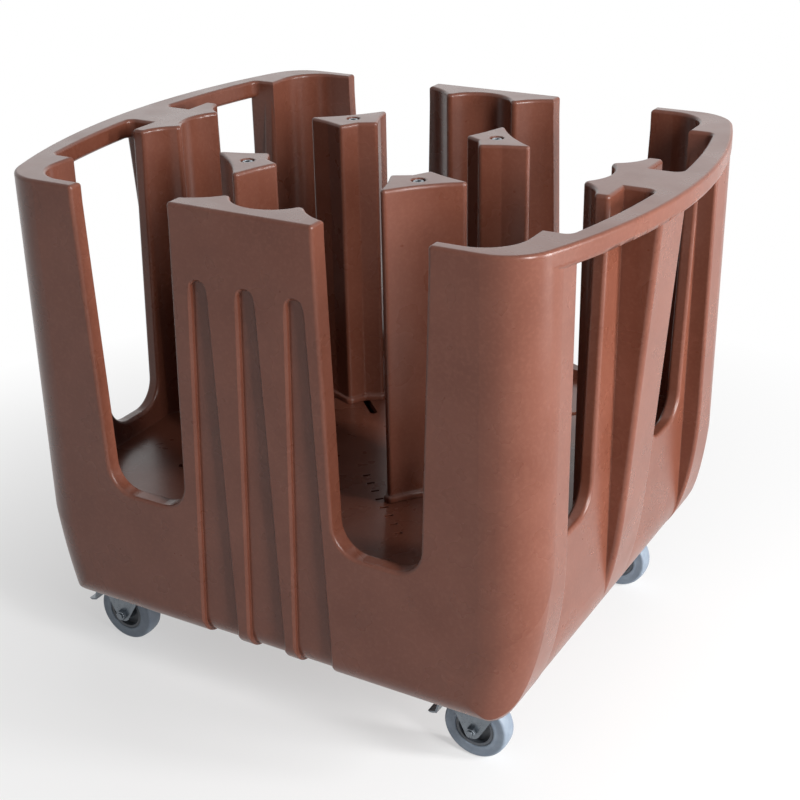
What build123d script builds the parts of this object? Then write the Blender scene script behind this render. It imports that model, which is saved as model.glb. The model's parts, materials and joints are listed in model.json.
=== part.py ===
from build123d import *
import os
from math import atan2, cos, degrees, radians, sin, sqrt

# Tray stacking cart: a brown moulded body on four swivel casters, with four sliding dividers.
# Millimetres. Origin on the ground under the middle of the cart, +Z up, handles at +X and -X,
# the grooved front panel at -Y. A part of the +X +Y quadrant is mirrored into the other three.

# Heights above the ground
top_z = 800.0
underside_z = 125.0
floor_z = 322.0
end_notch_z = 337.0
side_notch_z = 352.0
divider_top_z = 793.0

# Plan of the body: tub, outer edges and inner walls
tub_half_x = 391.0
tub_half_y = 372.0
tub_corner_r = 74.0
under_edge_r = 40.0
wall_inner_x = 369.0
wall_inner_y = 350.0
rim_edge_r = 5.0

# Long sides, which all curve in towards one line at the underside
tub_bend_z = 200.0
tub_foot_x = 345.0
side_foot_x = 350.0
foot_pull = 0.55

# Corner posts
post_half_x = 418.0
post_bend_z = 360.0
post_corner_r = 74.0
post_start_y = 256.0
post_inner_r = 58.0
post_edge_r = 5.0
post_low_r = 66.0
post_low_foot = (354.0, 40.0)
notch_edge_r = 6.0

# Handles and the pillars that carry them
handle_reach = 472.0
handle_width = 36.0
handle_height = 30.0
handle_edge_r = 9.0
handle_inner_r = 1100.0
window_r = 12.0
pillar_half_y = 47.0
pillar_top_x = 448.0
pillar_bend_x = 415.0
pillar_bend_z = 335.0
pillar_edge_r = 8.0

# Inner faces of the middle panels and of the side towers
panel_dip_y = 341.0
panel_peak = (57.0, 302.0)
panel_tip = (116.0, 345.0)
tower_dip_x = 353.0
tower_peak = (329.0, 49.5)
tower_tip = (wall_inner_x, 97.0)
panel_sag = 7.0
tower_sag = 9.0
peak_r = 8.0

# Deep notches in the four walls, given by where their flanks start and end
end_notch_top = (113.0, 275.0)
end_notch_foot = (126.0, 259.0)
side_notch_top = (tower_tip[1], post_start_y)
side_notch_foot = (115.0, 229.0)
notch_corner_r = 43.0

# Grooves down the front and back, each given by its middle at the top and at the foot
groove_centres = ((4.0, 4.0), (80.0, 84.0), (-72.0, -78.0))
groove_top_z = 696.0
groove_top_width = 24.0
groove_foot_width = 62.0
groove_depth = 8.0
groove_flare = 3.5

# Sealed hollow inside the moulding: its skin, and the solid pads over the casters
skin = 7.0
pad_edge = 10.0

# Divider tracks in the floor
slot_width = 12.0
slot_depth = 12.0
channel_width = 30.0
channel_height = 18.0
index_offset = 70.0
index_start = 11.0
index_pitch = 26.0
index_length = 12.0
index_width = 4.0
index_depth = 3.0

# Dividers, in outward coordinates from the clamp screw, and how far each stands out along its track
divider_x = 130.0
divider_y = 127.0
divider_in = 80.0
divider_out = 150.0
divider_shift = {"front_left": 20.0, "front_right": -9.0, "back_left": 2.0, "back_right": -10.0}
divider_tip = (58.0, -20.0)
divider_hollow = 15.0
divider_waist = (24.0, -29.5)
divider_heel = (-4.0, -41.0)
divider_notch = -17.0
divider_round = 5.0
divider_skin = 6.0
divider_edge_r = 4.0
foot_flare = 5.0
foot_height = 10.0
recess_r = 10.5
recess_depth = 12.0

# Clamp screw, washer and sliding nut of a divider
screw_r = 5.0
screw_gap = 0.6
thread_gap = 0.05
head_r = 8.0
head_height = 9.0
socket_width = 8.0
socket_depth = 6.0
washer_r = 9.8
washer_height = 2.0
nut_side = 26.0
nut_height = 9.0
nut_collar_r = 9.0
nut_collar_height = 5.0

# Casters
caster_x = 318.0
caster_y = 265.0
trail = 24.0
wheel_r = 50.0
tread_inner_r = 30.0
tread_half = 16.0
tread_edge_r = 5.0
rim_r = 25.0
rim_half = 15.0
web_half = 4.0
hub_r = 13.0
hub_half = 19.5
sleeve_r = 7.5
running_gap = 0.05
plate_size = (68.0, 96.0, 4.0)
plate_corner_r = 8.0
plate_hole = (20.0, 37.0)
cap_r = 30.0
skirt_wall = 3.0
skirt_drop = 8.0
race_gap = 5.0
cap_height = 3.5
crown_height = 5.5
crown_half_y = 23.0
leg_wall = 3.0
ball_count = 18
ball_r = 2.9
ball_gap = 0.3
ball_circle_r = 20.5
kingpin_r = 6.0
kingpin_head_r = 10.0
kingpin_head_height = 6.0
axle_r = 5.0
axle_head_width = 15.0
axle_head_height = 6.0
axle_nut_height = 7.0
bolt_r = 4.0
bolt_head_width = 13.0
bolt_head_height = 5.3
insert_r = 6.5
insert_depth = 22.0

# Foot brake of the two front casters
brake_pin_out = 34.0
brake_pin_z = 100.0
brake_pin_r = 3.0
brake_tube_r = 5.5
brake_fall = 55.0
pedal_points = ((0.0, 4.0), (34.0, 4.0), (50.8, -2.2), (61.6, 6.7))
pedal_width = 34.0
pedal_end_r = 8.0
pedal_wall = 3.0
shoe_start = 14.0
shoe_length = 16.0
shoe_width = 24.0
shoe_height = 4.5


def solid_box(x_low, x_high, y_low, y_high, z_low, z_high):
    """Box between two corners."""
    middle = ((x_low + x_high) / 2, (y_low + y_high) / 2, (z_low + z_high) / 2)
    return Pos(*middle) * Box(x_high - x_low, y_high - y_low, z_high - z_low)


def raised(face, z_low, z_high):
    """Plan outline raised between two heights."""
    return Pos(0, 0, z_low) * extrude(face, amount=z_high - z_low)


def disc(radius, z_low, z_high):
    """Upright round bar on the Z axis between two heights."""
    return raised(Circle(radius), z_low, z_high)


def hexagon(width, z_low, z_high):
    """Upright hexagonal bar, given by its width across flats."""
    return raised(RegularPolygon(width / 2, 6, major_radius=False), z_low, z_high)


def rounded_plan(half_x, half_y, radius):
    """Rounded rectangle in plan."""
    return RectangleRounded(2 * half_x, 2 * half_y, radius)


def four_ways(shape):
    """A shape of the +X +Y quadrant and its mirror images in the other three."""
    across = mirror(shape, about=Plane.YZ)
    return [shape, across, mirror(shape, about=Plane.XZ), mirror(across, about=Plane.XZ)]


def bowed(start, end, sag):
    """Arc from start to end that bulges to the left of its direction by sag."""
    dx = end[0] - start[0]
    dy = end[1] - start[1]
    run = sqrt(dx * dx + dy * dy)
    middle = ((start[0] + end[0]) / 2 - dy / run * sag, (start[1] + end[1]) / 2 + dx / run * sag)
    return ThreePointArc(start, middle, end)


def is_at(vertex, point):
    """True where the vertex lies at the point or at one of its mirror images."""
    return abs(abs(vertex.X) - point[0]) < 0.1 and abs(abs(vertex.Y) - point[1]) < 0.1


# Body moulding
def filleted_block(plan, z_low, z_high, edge_r):
    """Straight-sided block with a round lower edge."""
    block = raised(plan, z_low, z_high)
    return fillet(block.edges().group_by(Axis.Z)[0], radius=edge_r)


def side_profile(outer_x, bend_x, bend_z, foot_x, inner_x):
    """Profile in X and Z that leans from the top to the bend and then curves in to the foot."""
    pull_z = bend_z - foot_pull * (bend_z - underside_z)
    pull_x = bend_x - (outer_x - bend_x) / (top_z - bend_z) * (bend_z - pull_z)
    pull = ((pull_x, pull_z), (foot_x + foot_pull * (bend_x - foot_x), underside_z))
    outline = [
        Line((inner_x, underside_z), (inner_x, top_z)),
        Line((inner_x, top_z), (outer_x, top_z)),
        Line((outer_x, top_z), (bend_x, bend_z)),
        Bezier((bend_x, bend_z), *pull, (foot_x, underside_z)),
        Line((foot_x, underside_z), (inner_x, underside_z)),
    ]
    return Plane.XZ * make_face(outline)


def curved_block(half_x, bend_z, foot_x, corner_r):
    """Whole block with sides curved in to the foot, round all along its front and back edges."""
    half = extrude(side_profile(half_x, half_x, bend_z, foot_x, 0), amount=tub_half_y, both=True)
    block = half + mirror(half, about=Plane.YZ)
    ends = [e for e in block.edges() if is_end_edge(e)]
    block = fillet(ends, radius=under_edge_r)
    return block & raised(rounded_plan(half_x, tub_half_y, corner_r), underside_z, top_z)


def is_end_edge(edge):
    """True for the edges of the front and back faces, apart from the top one."""
    box = edge.bounding_box()
    return abs(abs(box.min.Y + box.max.Y) / 2 - tub_half_y) < 0.01 and box.min.Z < top_z - 0.01


def tub_shell():
    """The tub alone, open inside, with its notches and with soft edges on the side ones."""
    shell = curved_block(tub_half_x, tub_bend_z, tub_foot_x, tub_corner_r)
    shell -= raised(inner_plan(), floor_z, top_z + 1)
    for cutter in notches():
        shell -= cutter
    edges = [e for e in shell.edges() if is_side_notch_edge(e)]
    return fillet(edges, radius=notch_edge_r)


def is_side_notch_edge(edge):
    """True for the edges of the side notches on both faces of the wall."""
    box = edge.bounding_box()
    if box.max.X - box.min.X > 0.01 or box.min.Z < floor_z + 1 or box.min.Z > top_z - 0.01:
        return False
    on_wall = abs(box.max.X) - wall_inner_x > -0.01 and abs(box.max.X) - tub_half_x < 0.01
    return on_wall and side_notch_top[0] - 1 < abs(edge.center().Y) < side_notch_top[1] + 1


def post_corner_block():
    """Block whose corner is less round than the post's top, and follows its side down to the foot."""
    foot_x, foot_z = post_low_foot
    outline = [
        Line((0, foot_z), (0, top_z)),
        Line((0, top_z), (post_half_x, top_z)),
        Line((post_half_x, top_z), (post_half_x, post_bend_z)),
        TangentArc((post_half_x, post_bend_z), (foot_x, foot_z), tangent=(0, -1)),
        Line((foot_x, foot_z), (0, foot_z)),
    ]
    block = extrude(Plane.XZ * make_face(outline), amount=tub_half_y, both=True)
    edges = [e for e in block.edges() if is_end_edge(e) and e.bounding_box().max.X > foot_x + 1]
    edges = [e for e in edges if e.bounding_box().max.Z - e.bounding_box().min.Z > 1]
    return fillet(edges, radius=post_low_r)


def post():
    """Corner post, which stands out beyond the tub's side."""
    inner_x = wall_inner_x - post_inner_r
    block = curved_block(post_half_x, post_bend_z, side_foot_x, post_corner_r) & post_corner_block()
    block = block & solid_box(inner_x, post_half_x + 1, post_start_y, tub_half_y + 1, underside_z, top_z)
    return fillet([e for e in block.edges() if is_start_edge(e)], radius=post_edge_r)


def is_start_edge(edge):
    """True for the post's long outer edges on the face towards the middle."""
    box = edge.bounding_box()
    flat = box.max.Y - post_start_y < 0.01
    return flat and box.max.X > tub_half_x and box.max.Z - box.min.Z > under_edge_r


def pillar():
    """Leaning pillar in the middle of the +X side, up to the handle."""
    inner_x = wall_inner_x - post_inner_r
    profile = side_profile(pillar_top_x, pillar_bend_x, pillar_bend_z, side_foot_x, inner_x)
    block = extrude(profile, amount=pillar_half_y, both=True)
    outer = [e for e in block.edges() if e.bounding_box().max.X > tub_half_x]
    return fillet([e for e in outer if e.bounding_box().max.Z - e.bounding_box().min.Z > 1],
                  radius=pillar_edge_r)


def hand_window():
    """Plan of the opening between the handle and the set-back side wall, at +Y."""
    inner_x = handle_reach - handle_width
    middle = ((wall_inner_x + inner_x) / 2, (pillar_half_y + post_start_y) / 2)
    window = Pos(*middle) * Rectangle(inner_x - wall_inner_x, post_start_y - pillar_half_y)
    window = window & Pos(inner_x - handle_inner_r, 0) * Circle(handle_inner_r)
    return fillet([v for v in window.vertices() if v.X > wall_inner_x + 1], radius=window_r)


def handle():
    """Bowed bar at +X whose outer face runs into the round corners of the posts."""
    corner_y = tub_half_y - post_corner_r
    gap = handle_reach - post_half_x + post_corner_r
    bow_r = (gap * gap + corner_y * corner_y - post_corner_r ** 2) / (2 * (gap - post_corner_r))
    reach = corner_y + post_corner_r * corner_y / (bow_r - post_corner_r)
    start_x = (wall_inner_x + tub_half_x) / 2
    band = Pos((start_x + handle_reach) / 2, 0) * Rectangle(handle_reach - start_x, 2 * reach)
    slab = band & Pos(handle_reach - bow_r, 0) * Circle(bow_r)
    slab = slab - hand_window() - mirror(hand_window(), about=Plane.XZ)
    bar = raised(slab, top_z - handle_height, top_z)
    lower = [e for e in bar.edges().group_by(Axis.Z)[0] if e.center().X > tub_half_x]
    return fillet(lower, radius=handle_edge_r)


def inner_plan():
    """Plan of the open inside, drawn for one quadrant and mirrored."""
    wall_start = (end_notch_foot[0] + notch_corner_r, wall_inner_y)
    corner_start = (wall_inner_x - post_inner_r, wall_inner_y)
    corner_end = (wall_inner_x, wall_inner_y - post_inner_r)
    quarter = [
        Line((0, 0), (0, panel_dip_y)),
        TangentArc((0, panel_dip_y), panel_peak, tangent=(1, 0)),
        bowed(panel_peak, panel_tip, panel_sag),
        Line(panel_tip, wall_start),
        Line(wall_start, corner_start),
        TangentArc(corner_start, corner_end, tangent=(1, 0)),
        Line(corner_end, tower_tip),
        bowed(tower_tip, tower_peak, tower_sag),
        TangentArc((tower_dip_x, 0), tower_peak, tangent=(0, 1)),
        Line((tower_dip_x, 0), (0, 0)),
    ]
    face = make_face(quarter)
    half = face + mirror(face, about=Plane.XZ)
    whole = half + mirror(half, about=Plane.YZ)
    peaks = [v for v in whole.vertices() if is_at(v, panel_peak) or is_at(v, tower_peak)]
    return fillet(peaks, radius=peak_r)


def notch_outline(top, foot, foot_z):
    """Outline of a notch: upright at the handle's height, then leaning, with round corners."""
    bend_z = top_z - handle_height
    points = [
        (top[0], top_z + 1),
        (top[0], bend_z),
        (foot[0], foot_z),
        (foot[1], foot_z),
        (top[1], bend_z),
        (top[1], top_z + 1),
    ]
    face = make_face(Polyline(*points, close=True))
    return fillet(face.vertices().group_by(Axis.Y)[0], radius=notch_corner_r)


def notches():
    """Cutters for the eight notches through the walls."""
    end_face = Plane.XZ * notch_outline(end_notch_top, end_notch_foot, end_notch_z)
    end_cut = Pos(0, tub_half_y + 1, 0) * extrude(end_face, amount=tub_half_y - panel_peak[1])
    side_face = Plane.YZ * notch_outline(side_notch_top, side_notch_foot, side_notch_z)
    side_cut = Pos(tower_peak[0], 0, 0) * extrude(side_face, amount=tub_half_x - tower_peak[0])
    return four_ways(end_cut) + four_ways(side_cut)


def grooves():
    """Cutters for the shallow grooves, which widen towards the foot."""
    plan = rounded_plan(tub_half_x, tub_half_y, tub_corner_r)
    core_plan = rounded_plan(tub_half_x, tub_half_y - groove_depth, tub_corner_r)
    outside = filleted_block(plan, underside_z, top_z, under_edge_r)
    skin_layer = outside - filleted_block(core_plan, underside_z, top_z, under_edge_r)
    cutters = []
    for top_x, foot_x in groove_centres:
        outline = Polyline(
            (top_x - groove_top_width / 2, groove_top_z),
            (top_x + groove_top_width / 2, groove_top_z),
            (foot_x + groove_foot_width / 2, underside_z - 1),
            (foot_x - groove_foot_width / 2, underside_z - 1),
            close=True,
        )
        face = make_face(outline)
        face = fillet(face.vertices().group_by(Axis.Y)[-1], radius=groove_top_width / 2 - 1)
        cutters.append(extrude(Plane.XZ * face, amount=tub_half_y + 1, both=True) & skin_layer)
        mouth = Pos(0, -tub_half_y - 1, 0) * (Plane.XZ * offset(face, amount=groove_flare + 1))
        flare = extrude(mouth, amount=groove_flare + 1, dir=(0, 1, 0), taper=45)
        cutters += [flare, mirror(flare, about=Plane.XZ)]
    return cutters


def along_track(sign_x, sign_y):
    """Place at a track's middle mark, with X along the track and away from the cart's middle."""
    turn = Rot(0, 0, degrees(atan2(sign_y, sign_x)))
    return Pos(sign_x * divider_x, sign_y * divider_y, 0) * turn


def track_middle():
    """Place of the middle of a track's length."""
    return Pos((divider_out - divider_in) / 2, 0)


def track():
    """Slot and the wider channel under it, along which a divider slides, and the index marks."""
    travel = divider_out + divider_in
    slot = track_middle() * SlotCenterToCenter(travel, slot_width)
    channel = track_middle() * Rectangle(travel + nut_side + 4, channel_width)
    slot_low = floor_z - slot_depth
    cut = raised(slot, slot_low, floor_z + 1)
    cut += raised(channel, slot_low - channel_height, slot_low)
    marks = []
    for step in range(int(travel // index_pitch)):
        for side in (-1, 1):
            spot = Pos(step * index_pitch + index_start - divider_in, side * index_offset, floor_z)
            marks.append(spot * Box(index_width, index_length, 2 * index_depth))
    return [cut] + marks


def track_cutters():
    """The tracks' cutters of all four quadrants."""
    cutters = []
    for sign_x in (-1, 1):
        for sign_y in (-1, 1):
            cutters += [along_track(sign_x, sign_y) * cutter for cutter in track()]
    return cutters


def under_floor():
    """Hollow under the floor, round the tracks' channels and the pads over the casters."""
    half_x = tub_half_x - 5 * skin
    half_y = tub_half_y - groove_depth - skin
    edge_r = under_edge_r - skin
    low = underside_z + skin
    high = floor_z - skin
    space = filleted_block(rounded_plan(half_x, half_y, tub_corner_r), low, high, edge_r)
    length = divider_out + divider_in + nut_side + 4 + 2 * skin
    channel_low = floor_z - slot_depth - channel_height - skin
    housing = raised(track_middle() * Rectangle(length, channel_width + 2 * skin), channel_low, high)
    for sign_x in (-1, 1):
        for sign_y in (-1, 1):
            space -= along_track(sign_x, sign_y) * housing
            spot = Pos(sign_x * caster_x, sign_y * caster_y, low + insert_depth / 2)
            space -= spot * Box(plate_size[0] + pad_edge, plate_size[1] + pad_edge, insert_depth)
    return space


def columns():
    """Hollows up inside the towers and the posts, open to the one under the floor."""
    low = floor_z - 3 * skin
    high = top_z - 2 * skin
    far = tub_half_x + skin
    half_y = tower_peak[1] - skin
    tower = solid_box(tower_dip_x + skin, far, -half_y, half_y, low, high)
    corner = solid_box(wall_inner_x + skin, far, post_start_y + skin, wall_inner_y - skin, low, high)
    corner += solid_box(wall_inner_x - post_inner_r, far, post_start_y + skin, wall_inner_y - skin,
                        low, floor_z - skin)
    return [tower, mirror(tower, about=Plane.YZ)] + four_ways(corner)


def insert_holes():
    """Blind holes in the underside for the threaded inserts of the casters."""
    return [place * disc(insert_r, underside_z - 1, underside_z + insert_depth)
            for place in bolt_places()]


def bolt_places():
    """Places of the sixteen bolts that hold the casters."""
    places = []
    for centre_x in (-caster_x, caster_x):
        for centre_y in (-caster_y, caster_y):
            for side_x in (-plate_hole[0], plate_hole[0]):
                for side_y in (-plate_hole[1], plate_hole[1]):
                    places.append(Pos(centre_x + side_x, centre_y + side_y, 0))
    return places


def rim_edges(body):
    """Edges round the top of the body."""
    return [e for e in body.edges() if e.bounding_box().min.Z > top_z - 0.01]


def notch_edges(body):
    """Edges of the notches on the outer faces of the walls."""
    found = []
    for edge in body.edges():
        box = edge.bounding_box()
        if box.min.Z < floor_z or box.min.Z > top_z - 0.01:
            continue
        on_end = abs(abs(box.max.Y + box.min.Y) / 2 - tub_half_y) < 0.01 and box.max.Y - box.min.Y < 0.01
        if on_end and end_notch_top[0] - 1 < abs(edge.center().X) < end_notch_top[1] + 1:
            found.append(edge)
    return found


def body_shell():
    """The whole moulding."""
    body = tub_shell()
    inside = raised(inner_plan(), floor_z, top_z + 1)
    for piece in four_ways(post()):
        body += piece - inside
    for piece in (pillar(), handle()):
        body += piece - inside
        body += mirror(piece - inside, about=Plane.YZ)
    for cutter in grooves():
        body -= cutter
    body = fillet(notch_edges(body) + rim_edges(body), radius=rim_edge_r)
    for cutter in [under_floor()] + columns() + track_cutters() + insert_holes():
        body -= cutter
    return body


# Dividers
def divider_outline():
    """Plan of the divider about its screw, open hollow towards +X +Y."""
    u_tip = divider_tip
    v_tip = (divider_tip[1], divider_tip[0])
    v_waist = (divider_waist[1], divider_waist[0])
    v_heel = (divider_heel[1], divider_heel[0])
    notch = (divider_notch, divider_notch)
    outline = [
        ThreePointArc(u_tip, (divider_hollow, divider_hollow), v_tip),
        Line(v_tip, v_waist),
        Line(v_waist, v_heel),
        Line(v_heel, notch),
        Line(notch, divider_heel),
        Line(divider_heel, divider_waist),
        Line(divider_waist, u_tip),
    ]
    return make_face(outline)


def divider():
    """Divider column about its screw, hollow inside, with a flared foot."""
    wall = offset(divider_outline(), amount=divider_round)
    foot = offset(divider_outline(), amount=divider_round + foot_flare)
    column = raised(wall, floor_z, divider_top_z)
    column = fillet(column.edges().group_by(Axis.Z)[-1], radius=divider_edge_r)
    base = raised(foot, floor_z, floor_z + foot_height)
    base = fillet(base.edges().group_by(Axis.Z)[-1], radius=foot_flare - 1)
    column += base
    space = offset(divider_outline(), amount=divider_round - divider_skin)
    space_low = floor_z + foot_height
    space_high = divider_top_z - recess_depth - divider_skin
    column -= raised(space - Circle(recess_r), space_low, space_high)
    column -= disc(screw_r + screw_gap, floor_z - 1, divider_top_z + 1)
    column -= disc(recess_r, divider_top_z - recess_depth, divider_top_z + 1)
    return column


def clamp_screw():
    """Long socket-head screw from the recess down through the floor slot."""
    head_low = divider_top_z - recess_depth + washer_height
    tip_z = floor_z - slot_depth - nut_height - nut_collar_height - 2
    screw = disc(screw_r, tip_z, head_low) + disc(head_r, head_low, head_low + head_height)
    screw = chamfer(screw.edges().group_by(Axis.Z)[-1], length=1)
    return screw - hexagon(socket_width, head_low + head_height - socket_depth, divider_top_z)


def clamp_washer():
    """Washer under the screw's head."""
    low = divider_top_z - recess_depth
    return disc(washer_r, low, low + washer_height) - disc(screw_r + screw_gap, low, divider_top_z)


def clamp_nut():
    """Square nut with a collar, which slides in the channel under the floor."""
    high = floor_z - slot_depth
    plate = raised(Rectangle(nut_side, nut_side), high - nut_height, high)
    low = high - nut_height - nut_collar_height
    return plate + disc(nut_collar_r, low, high - nut_height) - disc(screw_r + thread_gap, low - 1, high + 1)


# Casters, about the swivel axis, with the wheel trailing along +X
plate_low = underside_z - plate_size[2]
cap_low = plate_low - cap_height
crown_high = cap_low - race_gap
crown_low = crown_high - crown_height
axle_z = wheel_r
leg_inner_y = crown_half_y - leg_wall
brake_pin_x = trail + brake_pin_out


def across(shape, y_low):
    """A shape drawn upward from Z 0, laid along +Y from y_low at the wheel's axle."""
    return Pos(trail, y_low, axle_z) * Rot(-90, 0, 0) * shape


def ball_race():
    """Ring cut by the balls' track into the cap and the crown."""
    middle = (cap_low + crown_high) / 2
    return Pos(0, 0, middle) * Torus(ball_circle_r, ball_r + ball_gap)


def caster_plate():
    """Mounting plate with the pressed cap and skirt of the swivel bearing."""
    plate = raised(RectangleRounded(plate_size[0], plate_size[1], plate_corner_r), plate_low, underside_z)
    plate += disc(cap_r, cap_low, plate_low)
    skirt = disc(cap_r, plate_low - skirt_drop, plate_low)
    skirt -= disc(cap_r - skirt_wall, plate_low - skirt_drop - 1, plate_low)
    plate += skirt
    plate -= ball_race()
    plate -= disc(kingpin_r, cap_low - 1, underside_z + 1)
    for side_x in (-plate_hole[0], plate_hole[0]):
        for side_y in (-plate_hole[1], plate_hole[1]):
            plate -= Pos(side_x, side_y, 0) * disc(bolt_r + 0.5, plate_low - 1, underside_z + 1)
    return plate


def kingpin():
    """Riveted pin that carries the swivel, flush with the plate's top."""
    pin = disc(kingpin_r, crown_low, underside_z)
    head = disc(kingpin_head_r, crown_low - kingpin_head_height, crown_low)
    return pin + chamfer(head.edges().group_by(Axis.Z)[0], length=1.5)


def bearing_balls():
    """Balls between the cap and the fork's crown."""
    middle = (cap_low + crown_high) / 2
    balls = []
    for step in range(ball_count):
        angle = radians(360 * step / ball_count)
        balls.append(Pos(ball_circle_r * cos(angle), ball_circle_r * sin(angle), middle) * Sphere(ball_r))
    return Compound(children=balls)


def leg_outline(braked):
    """Side view of a fork leg in X and Z."""
    shapes = Pos(trail, axle_z) * Circle(hub_r)
    shapes += Pos(trail / 3, crown_high - 3) * Rectangle(2 * cap_r + 4, 6)
    if braked:
        shapes += Pos(brake_pin_x, brake_pin_z) * Circle(2 * brake_pin_r)
    return make_hull(shapes.edges())


def fork(braked):
    """Pressed fork: crown and two legs."""
    legs = extrude(Plane.XZ * leg_outline(braked), amount=crown_half_y, both=True)
    gap = solid_box(-2 * wheel_r, 2 * wheel_r, -leg_inner_y, leg_inner_y, 0, crown_low)
    body = legs - gap
    body &= solid_box(-2 * wheel_r, 2 * wheel_r, -crown_half_y, crown_half_y, 0, crown_high)
    if braked:
        gap_x = trail / 3 + cap_r + 2
        body -= solid_box(gap_x, 2 * wheel_r, -leg_inner_y, leg_inner_y, 0, crown_high + 1)
        body -= at_brake_pin() * Rot(90, 0, 0) * Cylinder(brake_pin_r, 3 * crown_half_y)
    body -= disc(kingpin_r + running_gap, crown_low - 1, crown_high + 1)
    body -= ball_race()
    body -= across(disc(axle_r, 0, 2 * crown_half_y + 2), -crown_half_y - 1)
    return body


def axle_bolt():
    """Axle bolt with its nut."""
    shank = disc(axle_r, 0, 2 * crown_half_y + axle_nut_height + 2)
    head = hexagon(axle_head_width, -axle_head_height, 0)
    nut = hexagon(axle_head_width, 0, axle_nut_height) - disc(axle_r, -1, axle_nut_height + 1)
    bolt = across(shank + head, -crown_half_y)
    return Compound(children=[bolt, across(nut, crown_half_y)])


def axle_sleeve():
    """Spacer sleeve between the legs, on which the wheel turns."""
    tube = disc(sleeve_r, 0, 2 * leg_inner_y) - disc(axle_r, -1, 2 * leg_inner_y + 1)
    return across(tube, -leg_inner_y)


def wheel_core():
    """Hub, web and rim in one piece."""
    core = disc(hub_r, -hub_half, hub_half) + disc(tread_inner_r, -web_half, web_half)
    ring = disc(tread_inner_r, -rim_half, rim_half) - disc(rim_r, -rim_half - 1, rim_half + 1)
    core = core + ring - disc(sleeve_r + running_gap, -hub_half - 1, hub_half + 1)
    return across(core, 0)


def tread():
    """Soft tread round the rim."""
    tyre = disc(wheel_r, -tread_half, tread_half)
    tyre = fillet(tyre.edges(), radius=tread_edge_r)
    return across(tyre - disc(tread_inner_r, -tread_half - 1, tread_half + 1), 0)


def at_brake_pin():
    """Place of the brake pin's middle."""
    return Pos(brake_pin_x, 0, brake_pin_z)


def along_pedal():
    """Place at the brake pin with X along the pedal and Z away from the wheel."""
    return at_brake_pin() * Rot(0, brake_fall, 0)


def brake_pedal():
    """Pedal on its tube round the brake pin."""
    lever = Rot(90, 0, 0) * Cylinder(brake_tube_r, 2 * leg_inner_y - 1)
    side = Polyline(*pedal_points)
    sheet = extrude(Plane.XZ * trace(side, line_width=pedal_wall), amount=pedal_width / 2, both=True)
    tip_x = pedal_points[-1][0]
    plan = Pos(tip_x / 2, 0) * Rectangle(tip_x + 2 * pedal_wall, pedal_width)
    plan = fillet(plan.vertices().group_by(Axis.X)[-1], radius=pedal_end_r)
    lever += sheet & raised(plan, -pedal_width, pedal_width)
    lever -= Rot(90, 0, 0) * Cylinder(brake_pin_r + running_gap, 3 * leg_inner_y)
    return along_pedal() * lever


def brake_shoe():
    """Rubber block under the pedal that presses on the tread."""
    high = pedal_points[0][1] - pedal_wall / 2
    block = solid_box(shoe_start, shoe_start + shoe_length, -shoe_width / 2, shoe_width / 2,
                      high - shoe_height, high)
    return along_pedal() * block


def brake_pin():
    """Pin through the fork's ears."""
    return at_brake_pin() * Rot(90, 0, 0) * Cylinder(brake_pin_r, 2 * crown_half_y + 3)


def caster_bolts():
    """Sixteen hexagon bolts that hold the casters' plates."""
    tip_z = underside_z + insert_depth - 2
    bolt = disc(bolt_r, plate_low, tip_z) + hexagon(bolt_head_width, plate_low - bolt_head_height, plate_low)
    return Compound(children=[place * bolt for place in bolt_places()])


def threaded_inserts():
    """Sixteen metal inserts moulded into the underside."""
    insert = disc(insert_r, underside_z, underside_z + insert_depth)
    insert -= disc(bolt_r, underside_z - 1, underside_z + insert_depth + 1)
    return Compound(children=[place * insert for place in bolt_places()])


def write(name, shape):
    """Write one sub-part."""
    export_step(shape, f"parts/{name}.step")


def write_dividers():
    """Dividers with their clamp screws, washers and nuts."""
    column = divider()
    for side_y, row in ((-1, "front"), (1, "back")):
        for side_x, hand in ((-1, "left"), (1, "right")):
            shift = divider_shift[f"{row}_{hand}"] / sqrt(2)
            place = Pos(side_x * (divider_x + shift), side_y * (divider_y + shift), 0)
            turned = column
            if side_x < 0:
                turned = mirror(turned, about=Plane.YZ)
            if side_y < 0:
                turned = mirror(turned, about=Plane.XZ)
            nut_turn = Rot(0, 0, 45 * side_x * side_y)
            write(f"{row}_{hand}_divider", place * turned)
            write(f"{row}_{hand}_clamp_screw", place * clamp_screw())
            write(f"{row}_{hand}_clamp_washer", place * clamp_washer())
            write(f"{row}_{hand}_clamp_nut", place * nut_turn * clamp_nut())


def write_casters():
    """Casters, all trailing towards -X, with a brake on the two at the front."""
    for side_y, row in ((-1, "front"), (1, "back")):
        for side_x, hand in ((-1, "left"), (1, "right")):
            place = Pos(side_x * caster_x, side_y * caster_y, 0) * Rot(0, 0, 180)
            braked = side_y < 0
            pieces = {
                "caster_plate": caster_plate(),
                "kingpin": kingpin(),
                "bearing_balls": bearing_balls(),
                "fork": fork(braked),
                "axle_bolt": axle_bolt(),
                "axle_sleeve": axle_sleeve(),
                "wheel_core": wheel_core(),
                "tread": tread(),
            }
            if braked:
                pieces["brake_pedal"] = brake_pedal()
                pieces["brake_shoe"] = brake_shoe()
                pieces["brake_pin"] = brake_pin()
            for piece, shape in pieces.items():
                write(f"{row}_{hand}_{piece}", place * shape)


os.makedirs("parts", exist_ok=True)
write("body_shell", body_shell())
write("caster_bolts", caster_bolts())
write("threaded_inserts", threaded_inserts())
write_dividers()
write_casters()
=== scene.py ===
import json
from math import pi, radians

import bmesh
import bpy
from mathutils import Matrix, Vector


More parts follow.
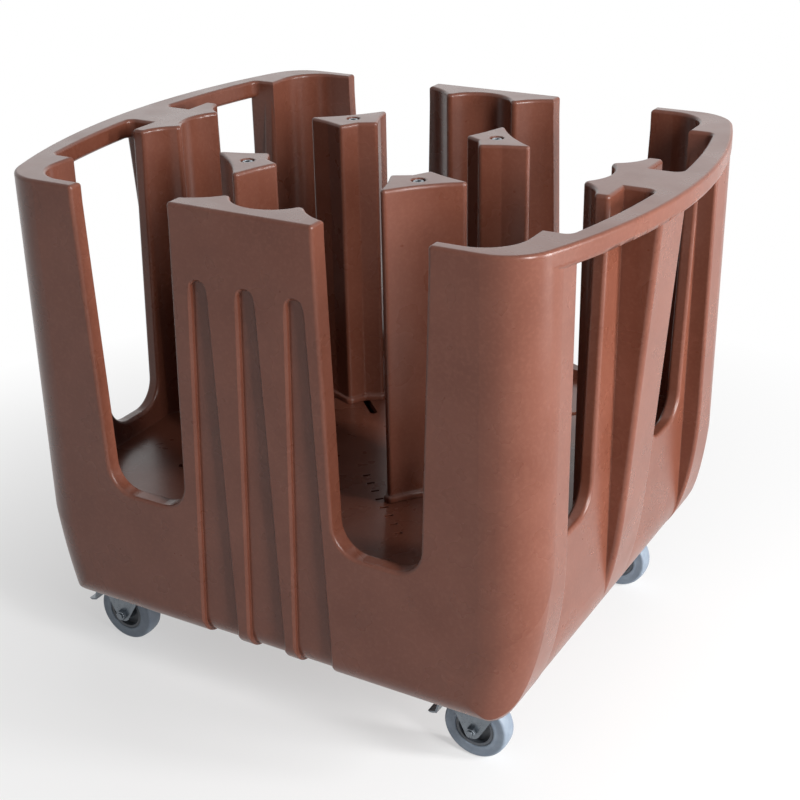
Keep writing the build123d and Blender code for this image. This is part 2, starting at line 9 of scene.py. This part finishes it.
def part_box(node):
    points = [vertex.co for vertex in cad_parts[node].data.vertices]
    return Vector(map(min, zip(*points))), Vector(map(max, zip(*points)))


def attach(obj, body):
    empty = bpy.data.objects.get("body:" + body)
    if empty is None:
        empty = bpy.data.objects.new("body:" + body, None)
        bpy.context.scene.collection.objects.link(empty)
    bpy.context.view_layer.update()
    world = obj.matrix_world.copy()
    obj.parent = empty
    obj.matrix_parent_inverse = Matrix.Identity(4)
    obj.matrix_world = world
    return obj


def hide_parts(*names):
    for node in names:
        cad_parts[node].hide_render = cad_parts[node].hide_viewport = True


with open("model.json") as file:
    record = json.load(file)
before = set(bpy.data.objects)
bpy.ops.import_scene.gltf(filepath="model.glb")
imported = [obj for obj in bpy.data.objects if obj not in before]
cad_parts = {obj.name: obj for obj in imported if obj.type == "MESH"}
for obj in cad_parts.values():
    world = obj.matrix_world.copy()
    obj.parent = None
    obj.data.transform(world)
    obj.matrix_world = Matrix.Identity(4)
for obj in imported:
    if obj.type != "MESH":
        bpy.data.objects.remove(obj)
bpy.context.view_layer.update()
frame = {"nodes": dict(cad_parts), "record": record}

# Tray stacking cart, in metres and in the CAD model's own frame: Z is up, the grooved front panel
# faces -Y, and the two handle bars are at -X and +X.


def colour(text):
    """Linear RGBA of an sRGB hex value."""
    parts = [int(text[i:i + 2], 16) / 255 for i in (1, 3, 5)]
    return [c / 12.92 if c <= 0.04045 else ((c + 0.055) / 1.055) ** 2.4 for c in parts] + [1]


# Camera: the photograph's view over the front right corner
CAMERA_PLACE = (1.0852, -1.8379, 1.3752)
CAMERA_YAW = radians(31.38)
CAMERA_DOWN = radians(24.88)
CAMERA_ROLL = radians(-1.57)
LENS_MM = 67.34
SENSOR_MM = 36
SHIFT_RIGHT = 0.037
SHIFT_UP = 0.0028


def set_camera():
    """Camera at the photograph's place, with its lens and its small sideways shift."""
    camera = bpy.data.objects.new("camera", bpy.data.cameras.new("camera"))
    bpy.context.scene.collection.objects.link(camera)
    camera.matrix_world = (Matrix.Translation(CAMERA_PLACE)
                           @ Matrix.Rotation(CAMERA_YAW, 4, "Z")
                           @ Matrix.Rotation(pi / 2 - CAMERA_DOWN, 4, "X")
                           @ Matrix.Rotation(CAMERA_ROLL, 4, "Z"))
    camera.data.lens = LENS_MM
    camera.data.sensor_width = SENSOR_MM
    camera.data.shift_x = SHIFT_RIGHT
    camera.data.shift_y = SHIFT_UP
    bpy.context.scene.camera = camera


set_camera()


# Materials. A pattern's scale is 1000 / its size in millimetres, because places are in metres.

# Sockets of a Mix node that mixes colours, which share their names with its other sockets
SHARE, LOW_COLOUR, HIGH_COLOUR, MIXED_COLOUR = 0, 6, 7, 2


def new_material(name):
    """Material, its tree, its shader, and the place on the object that its patterns follow."""
    material = bpy.data.materials.new(name)
    material.use_nodes = True
    tree = material.node_tree
    place = add(tree, "ShaderNodeTexCoord")["Object"]
    return material, tree, tree.nodes["Principled BSDF"], place


def feed(tree, node, inputs):
    """Gives a node its inputs, as plain values or as other nodes' outputs."""
    for key, value in inputs.items():
        if isinstance(value, bpy.types.NodeSocket):
            tree.links.new(value, node.inputs[key])
        else:
            node.inputs[key].default_value = value


def add(tree, kind, inputs=None, **settings):
    """Outputs of a new node that has these settings and inputs."""
    node = tree.nodes.new(kind)
    for key, value in settings.items():
        setattr(node, key, value)
    feed(tree, node, inputs or {})
    return node.outputs


def moulded_polyethylene(name, edge_radius):
    """Rotationally moulded polyethylene: a waxy brown skin with soft, broad highlights.

    The brown is faintly clouded and flecked where the powder melted unevenly, and the skin has the
    orange peel of the mould. Edges catch the light in a soft line, edge_radius metres round.
    """
    material, tree, shader, place = new_material(name)

    # Clouds of the melted powder, 90 mm across
    cloud = add(tree, "ShaderNodeTexNoise", {"Vector": place, "Scale": 1000 / 90, "Detail": 3})
    cloud = add(tree, "ShaderNodeMapRange", {"Value": cloud["Fac"], "From Min": 0.2, "From Max": 0.8})
    brown = add(tree, "ShaderNodeMix", {SHARE: cloud["Result"], LOW_COLOUR: colour("#5E3325"),
                                        HIGH_COLOUR: colour("#6A3E30")}, data_type="RGBA")

    # Paler grains of the powder are about 0.5 mm, too fine to show, and drawn at 5 mm
    fleck = add(tree, "ShaderNodeTexNoise", {"Vector": place, "Scale": 1000 / 5, "Detail": 1})
    fleck = add(tree, "ShaderNodeMapRange", {"Value": fleck["Fac"], "From Min": 0.45, "From Max": 0.75,
                                             "To Max": 0.12})
    flecked = add(tree, "ShaderNodeMix", {SHARE: fleck["Result"], LOW_COLOUR: brown[MIXED_COLOUR],
                                          HIGH_COLOUR: colour("#8C604F")}, data_type="RGBA")

    # Smears of handling, 60 mm across, change the gloss
    smear = add(tree, "ShaderNodeTexNoise", {"Vector": place, "Scale": 1000 / 60, "Detail": 3})
    gloss = add(tree, "ShaderNodeMapRange", {"Value": smear["Fac"], "From Min": 0.2, "From Max": 0.8,
                                             "To Min": 0.23, "To Max": 0.35})

    # Orange peel with waves of 6 mm, over rounded edges
    peel = add(tree, "ShaderNodeTexNoise", {"Vector": place, "Scale": 1000 / 6, "Detail": 1})
    edge = add(tree, "ShaderNodeBevel", {"Radius": edge_radius}, samples=6)
    skin = add(tree, "ShaderNodeBump", {"Height": peel["Fac"], "Strength": 0.12, "Distance": 0.0003,
                                        "Normal": edge["Normal"]})

    feed(tree, shader, {"Base Color": flecked[MIXED_COLOUR], "Roughness": gloss["Result"],
                        "Normal": skin["Normal"], "IOR": 1.51, "Specular IOR Level": 0.34})
    return material


def bright_steel(name, dark, light, smoothest, roughest):
    """Zinc-plated or ground steel: a bright metal, faintly clouded, with fine marks of working."""
    material, tree, shader, place = new_material(name)

    # Clouds of the plating, 8 mm across, in its tint and its gloss
    cloud = add(tree, "ShaderNodeTexNoise", {"Vector": place, "Scale": 1000 / 8, "Detail": 4,
                                             "Roughness": 0.6})
    tint = add(tree, "ShaderNodeMix", {SHARE: cloud["Fac"], LOW_COLOUR: colour(dark),
                                       HIGH_COLOUR: colour(light)}, data_type="RGBA")
    gloss = add(tree, "ShaderNodeMapRange", {"Value": cloud["Fac"], "From Min": 0.3, "From Max": 0.7,
                                             "To Min": smoothest, "To Max": roughest})

    # Rolling and grinding marks are about 0.1 mm apart, too fine to show, and drawn at 1.2 mm
    marks = add(tree, "ShaderNodeTexNoise", {"Vector": place, "Scale": 1000 / 1.2})
    skin = add(tree, "ShaderNodeBump", {"Height": marks["Fac"], "Strength": 0.12, "Distance": 0.0002})

    feed(tree, shader, {"Base Color": tint[MIXED_COLOUR], "Metallic": 1, "Roughness": gloss["Result"],
                        "Normal": skin["Normal"]})
    return material


def matt_moulding(name, dark, light, smoothest, roughest, grain_mm):
    """Moulded rubber or nylon: even and matt, slightly dusty, with the fine grain of its mould."""
    material, tree, shader, place = new_material(name)

    # Dust in clouds of 12 mm
    dust = add(tree, "ShaderNodeTexNoise", {"Vector": place, "Scale": 1000 / 12, "Detail": 4,
                                            "Roughness": 0.6})
    share = add(tree, "ShaderNodeMapRange", {"Value": dust["Fac"], "From Min": 0.3, "From Max": 0.7})
    tint = add(tree, "ShaderNodeMix", {SHARE: share["Result"], LOW_COLOUR: colour(dark),
                                       HIGH_COLOUR: colour(light)}, data_type="RGBA")
    gloss = add(tree, "ShaderNodeMapRange", {"Value": dust["Fac"], "From Min": 0.3, "From Max": 0.7,
                                             "To Min": smoothest, "To Max": roughest})

    # The mould's grain is about 0.2 mm, too fine to show, and drawn at grain_mm
    grain = add(tree, "ShaderNodeTexNoise", {"Vector": place, "Scale": 1000 / grain_mm})
    skin = add(tree, "ShaderNodeBump", {"Height": grain["Fac"], "Strength": 0.3, "Distance": 0.0002})

    feed(tree, shader, {"Base Color": tint[MIXED_COLOUR], "Roughness": gloss["Result"],
                        "Normal": skin["Normal"]})
    return material


MATERIALS = {
    "body_polyethylene": moulded_polyethylene("rotationally moulded polyethylene", 0.0016),
    "divider_polyethylene": moulded_polyethylene("rotationally moulded divider polyethylene", 0.005),
    "zinc_plated_steel": bright_steel("zinc-plated steel", "#5A6066", "#848A90", 0.22, 0.38),
    "bearing_steel": bright_steel("ground bearing steel", "#8A8D90", "#A9ABAD", 0.12, 0.22),
    "grey_nylon": matt_moulding("moulded grey nylon", "#3C4046", "#4A4F56", 0.34, 0.5, 1.5),
    "grey_tread_rubber": matt_moulding("moulded grey rubber", "#66717F", "#78838F", 0.42, 0.58, 1.2),
    "black_rubber": matt_moulding("moulded black rubber", "#101113", "#1C1D1F", 0.52, 0.68, 1.2),
}


def slot_of_node(node):
    """Material slot of a CAD node."""
    return next(part["material_slot"] for part in frame["record"]["subparts"] if part["node"] == node)


def body_of_node(node):
    """Name of the body that a CAD node rides on."""
    return next(body for body, nodes in frame["record"]["behaviour"]["bodies"].items() if node in nodes)


def dress_nodes():
    """Every CAD node gets the material of its slot."""
    for node, solid in frame["nodes"].items():
        solid.data.materials.clear()
        solid.data.materials.append(MATERIALS[slot_of_node(node)])


dress_nodes()


# Casters and clamp screws, with rounder edges and fuller tyres than in the CAD model

# Points nearer than this are one point, in metres
MERGED = 0.00001
# Neighbouring triangles that turn less than FLAT are one face, and edges that turn more than SHARP
# are rounded
FLAT = radians(1)
SHARP = radians(35)

TYRE_STEPS = 96
# Half of the tyre's section from the bore to the crown, as radius and sideways place in mm: the bead,
# the dished wall, the shoulder, the crown and one side of the mould line
TYRE_HALF = [(30, 15.2), (31.2, 15.9), (33, 16), (34, 15.7), (35, 15.2), (38, 14.9), (42, 14.9),
             (44.5, 15.1), (46, 15), (47.3, 14.4), (48.4, 13.2), (49, 11.6), (49.4, 9), (49.8, 5),
             (50, 1.2), (49.8, 0.5)]

CORNERS = ("front_left", "front_right", "back_left", "back_right")
# How far each part's rounding reaches from its edges, in mm
ROUNDED_PARTS = {
    "caster_plate": 0.8,
    "fork": 0.7,
    "axle_bolt": 0.6,
    "wheel_core": 0.8,
    "kingpin": 0.5,
    "clamp_screw": 0.6,
    "clamp_washer": 0.3,
    "brake_pedal": 0.7,
    "brake_shoe": 1.2,
    "brake_pin": 0.5,
}
BOLT_ROUNDING = 0.5


def stand_in(name, shape, node):
    """Finished shape as a piece that stands for a CAD node, on its body and with its material."""
    body, slot = body_of_node(node), slot_of_node(node)
    mesh = bpy.data.meshes.new(name)
    shape.to_mesh(mesh)
    shape.free()
    mesh.shade_smooth()
    mesh.materials.append(MATERIALS[slot])
    piece = bpy.data.objects.new(name, mesh)
    bpy.context.scene.collection.objects.link(piece)
    piece.modifiers.new("even shading", "WEIGHTED_NORMAL").keep_sharp = True
    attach(piece, body)
    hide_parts(node)


def make_rounded(node, reach_mm):
    """Copy of a CAD node's shape with its triangles joined and its sharp edges rounded."""
    shape = bmesh.new()
    shape.from_mesh(frame["nodes"][node].data)
    bmesh.ops.remove_doubles(shape, verts=shape.verts, dist=MERGED)
    bmesh.ops.dissolve_limit(shape, angle_limit=FLAT, verts=shape.verts, edges=shape.edges)
    sharp = [e for e in shape.edges if len(e.link_faces) == 2 and e.calc_face_angle() > SHARP]
    bmesh.ops.bevel(shape, geom=sharp, offset=reach_mm / 1000, offset_type="OFFSET", segments=2,
                    profile=0.5, affect="EDGES", clamp_overlap=True, material=-1)
    stand_in(f"{node}_rounded", shape, node)


def make_tyre(corner):
    """Crowned tyre with dished walls and the faint mould line round its middle."""
    node = f"{corner}_tread"
    section = TYRE_HALF + [(radius, -side) for radius, side in reversed(TYRE_HALF)]
    shape = bmesh.new()
    points = [shape.verts.new((0, side / 1000, radius / 1000)) for radius, side in section]
    edges = [shape.edges.new((a, b)) for a, b in zip(points, points[1:] + points[:1])]
    bmesh.ops.spin(shape, geom=points + edges, axis=(0, 1, 0), cent=(0, 0, 0), steps=TYRE_STEPS,
                   angle=2 * pi, use_merge=True)
    bmesh.ops.remove_doubles(shape, verts=shape.verts, dist=MERGED)
    bmesh.ops.recalc_face_normals(shape, faces=shape.faces)
    low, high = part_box(node)
    bmesh.ops.translate(shape, verts=shape.verts, vec=(low + high) / 2)
    stand_in(f"{corner}_tyre", shape, node)


def make_casters():
    """Rounded metal parts, wheels and screws at all four corners, and the casters' bolts."""
    for corner in CORNERS:
        make_tyre(corner)
        for part, reach_mm in ROUNDED_PARTS.items():
            node = f"{corner}_{part}"
            if node in frame["nodes"]:
                make_rounded(node, reach_mm)
    make_rounded("caster_bolts", BOLT_ROUNDING)


make_casters()


# Floor, background and lamps

FLOOR_RADIUS = 9
# The floor takes light and shadow most near the cart, and is plain white to the camera farther off
FLOOR_WHITE_NEAR = 0.5
SHADOW_FROM = 0.5
SHADOW_TO = 1.4
WORLD_LIGHT = 0.15
# A strength of 1 is white
WHITE = {"Color": (1, 1, 1, 1), "Strength": 1.0}


def direct_ray(tree):
    """One for a ray of the camera, of a reflection or through glass, and none for light on things."""
    rays = add(tree, "ShaderNodeLightPath")
    bent = add(tree, "ShaderNodeMath", {0: rays["Is Glossy Ray"], 1: rays["Is Transmission Ray"]},
               operation="MAXIMUM")
    return add(tree, "ShaderNodeMath", {0: rays["Is Camera Ray"], 1: bent["Value"]},
               operation="MAXIMUM")["Value"]


def make_floor():
    """Plain pale floor that keeps the cart's shadow and turns pure white away from it."""
    mesh = bpy.data.meshes.new("floor")
    shape = bmesh.new()
    bmesh.ops.create_circle(shape, cap_ends=True, segments=96, radius=FLOOR_RADIUS)
    shape.to_mesh(mesh)
    shape.free()
    floor = bpy.data.objects.new("floor", mesh)
    bpy.context.scene.collection.objects.link(floor)
    material, tree, shader, place = new_material("matt white paper")
    feed(tree, shader, {"Base Color": colour("#E6E6E6"), "Roughness": 0.9})
    white = add(tree, "ShaderNodeEmission", WHITE)
    reach = add(tree, "ShaderNodeVectorMath", {0: place}, operation="LENGTH")
    share = add(tree, "ShaderNodeMapRange", {"Value": reach["Value"], "From Min": SHADOW_FROM,
                                             "From Max": SHADOW_TO, "To Min": FLOOR_WHITE_NEAR})
    seen = add(tree, "ShaderNodeMath", {0: share["Result"], 1: direct_ray(tree)}, operation="MULTIPLY")
    lit = add(tree, "ShaderNodeMixShader", {0: seen["Value"], 1: shader.outputs["BSDF"],
                                            2: white["Emission"]})
    feed(tree, tree.nodes["Material Output"], {"Surface": lit["Shader"]})
    mesh.materials.append(material)


def make_world():
    """Even soft light, and pure white behind the cart for the camera, gloss and glass."""
    world = bpy.data.worlds.new("studio")
    bpy.context.scene.world = world
    world.use_nodes = True
    tree = world.node_tree
    light = tree.nodes["Background"]
    feed(tree, light, {"Color": colour("#FFFFFF"), "Strength": WORLD_LIGHT})
    white = add(tree, "ShaderNodeBackground", WHITE)
    mix = add(tree, "ShaderNodeMixShader", {0: direct_ray(tree), 1: light.outputs["Background"],
                                            2: white["Background"]})
    feed(tree, tree.nodes["World Output"], {"Surface": mix["Shader"]})


def lamp(name, place, target, width, height, watts):
    """Soft white rectangular lamp, aimed at a point."""
    data = bpy.data.lights.new(name, "AREA")
    data.shape = "RECTANGLE"
    data.size, data.size_y, data.energy = width, height, watts
    holder = bpy.data.objects.new(name, data)
    holder.location = place
    holder.rotation_euler = (Vector(target) - Vector(place)).to_track_quat("-Z", "Y").to_euler()
    bpy.context.scene.collection.objects.link(holder)


make_floor()
make_world()
lamp("right softbox", (3.1, 0.5, 0.98), (0, 0, 0.5), 0.45, 1.85, 125)
lamp("front right softbox", (3.0, -1.3, 2.0), (0, 0, 0.5), 0.6, 1.8, 135)
lamp("back softbox", (-1.6, 3.4, 2.1), (0, 0, 0.6), 5.0, 2.0, 20)

bpy.context.scene.view_settings.view_transform = "Standard"
